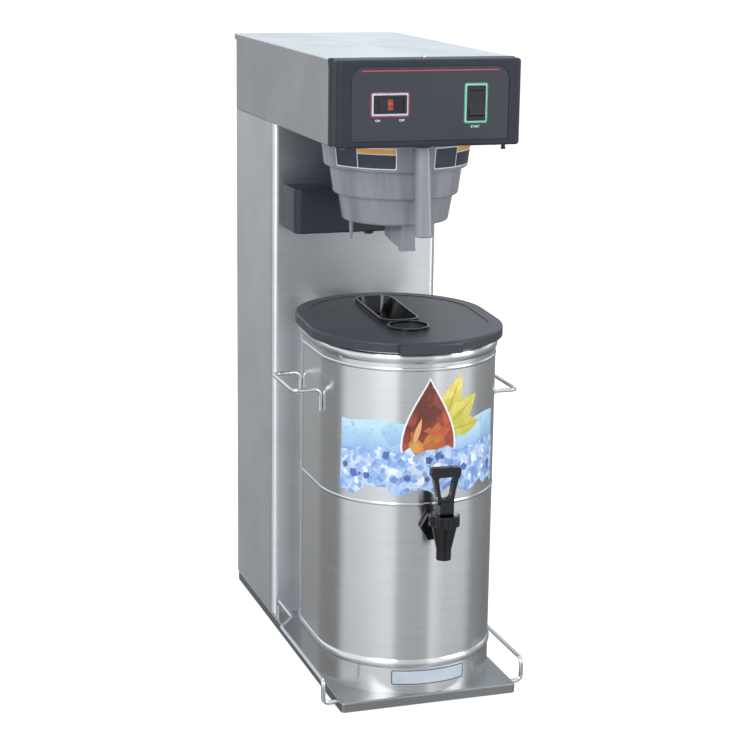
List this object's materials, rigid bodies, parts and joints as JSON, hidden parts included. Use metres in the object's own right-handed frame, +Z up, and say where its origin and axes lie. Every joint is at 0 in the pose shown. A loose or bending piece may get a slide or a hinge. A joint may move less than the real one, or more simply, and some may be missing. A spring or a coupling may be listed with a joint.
{
  "type": "iced tea maker",
  "caption": "Countertop iced tea brewer in brushed stainless steel with a hood, a smoke-grey brew funnel and a narrow oval tea dispenser with a black lid and faucet.",
  "frame": {"origin": "on the counter, under the middle of the footprint from the faucet's front to the water inlet's end", "axes": "+X to the right seen from the front, -Y to the front where the faucet is, +Z up"},
  "size_m": [0.3356, 0.647, 0.877],
  "materials": {
    "stainless": "satin",
    "steel_wire": "polished",
    "rubber": "matte",
    "black_plastic": "satin",
    "faucet_plastic": "gloss",
    "lid_plastic": "satin",
    "label_film": "satin",
    "amber_lens": "gloss",
    "smoke_plastic": "gloss",
    "brass": "satin",
    "copper": "satin",
    "hose": "satin",
    "circuit": "satin"
  },
  "bodies": {
    "brewer": {"base_tray": "stainless", "tray_feet": "rubber", "guide_rail_left": "steel_wire", "guide_rail_right": "steel_wire", "trunk_shell": "stainless", "back_panel": "stainless", "back_panel_screws": "steel_wire", "hood_shell": "stainless", "top_cover": "stainless", "control_panel": "black_plastic", "control_overlay": "label_film", "panel_screw": "steel_wire", "panel_pin": "black_plastic", "power_switch_body": "black_plastic", "start_switch_body": "black_plastic", "funnel_rails": "stainless", "spray_head": "black_plastic", "dilution_housing": "black_plastic", "dilution_nozzle": "black_plastic", "tank_shelf": "stainless", "water_tank": "stainless", "tank_lid": "stainless", "heating_element": "copper", "temperature_probe": "steel_wire", "brew_valve": "brass", "brew_line": "hose", "dilution_valve": "brass", "inlet_valve": "brass", "inlet_nut": "brass", "fill_line": "hose", "cord_gland": "black_plastic", "control_board": "circuit"},
    "power_switch": {"power_rocker": "black_plastic", "power_lamp": "amber_lens"},
    "start_switch": {"start_rocker": "black_plastic"},
    "funnel": {"brew_funnel": "smoke_plastic", "filter_basket": "smoke_plastic"},
    "dispenser": {"dispenser_shell": "stainless", "dispenser_floor": "stainless", "side_handle_left": "steel_wire", "side_handle_right": "steel_wire", "name_plate": "steel_wire", "faucet_body": "faucet_plastic", "shank_nuts": "faucet_plastic", "shank_gaskets": "rubber", "faucet_bonnet": "faucet_plastic", "lever_pin": "steel_wire"},
    "lever": {"faucet_lever": "faucet_plastic"},
    "seat": {"seat_cup": "rubber"},
    "lid": {"dispenser_lid": "lid_plastic"}
  },
  "joints": [
    {"name": "dispenser_slide", "type": "slide", "parent": "brewer", "child": "dispenser", "axis": [0, -1, 0], "range_m": [0, 0.15]},
    {"name": "lid_lift", "type": "slide", "parent": "dispenser", "child": "lid", "axis": [0, 0, 1], "range_m": [0, 0.08]},
    {"name": "funnel_slide", "type": "slide", "parent": "brewer", "child": "funnel", "axis": [0, -1, 0], "range_m": [0, 0.22]},
    {"name": "power_rock", "type": "hinge", "parent": "brewer", "child": "power_switch", "pos_m": [-0.05535, -0.2146, 0.81725], "axis": [0, 0, 1], "range_deg": [0, 12]},
    {"name": "start_press", "type": "hinge", "parent": "brewer", "child": "start_switch", "pos_m": [0.0628, -0.2146, 0.817], "axis": [1, 0, 0], "range_deg": [0, 8], "stiffness_Nm_per_rad": 0.3, "springref_deg": -5.73},
    {"name": "lever_pull", "type": "hinge", "parent": "dispenser", "child": "lever", "pos_m": [0, -0.3025, 0.2792], "axis": [1, 0, 0], "range_deg": [0, 30], "stiffness_Nm_per_rad": 0.4, "springref_deg": -20.05},
    {"name": "seat_lift", "type": "slide", "parent": "dispenser", "child": "seat", "axis": [0, 0, 1], "range_m": [0, 0.005]}
  ],
  "couplings": [
    {"joint": "seat_lift", "follows": "lever_pull", "m_per_rad": 0.0095}
  ]
}
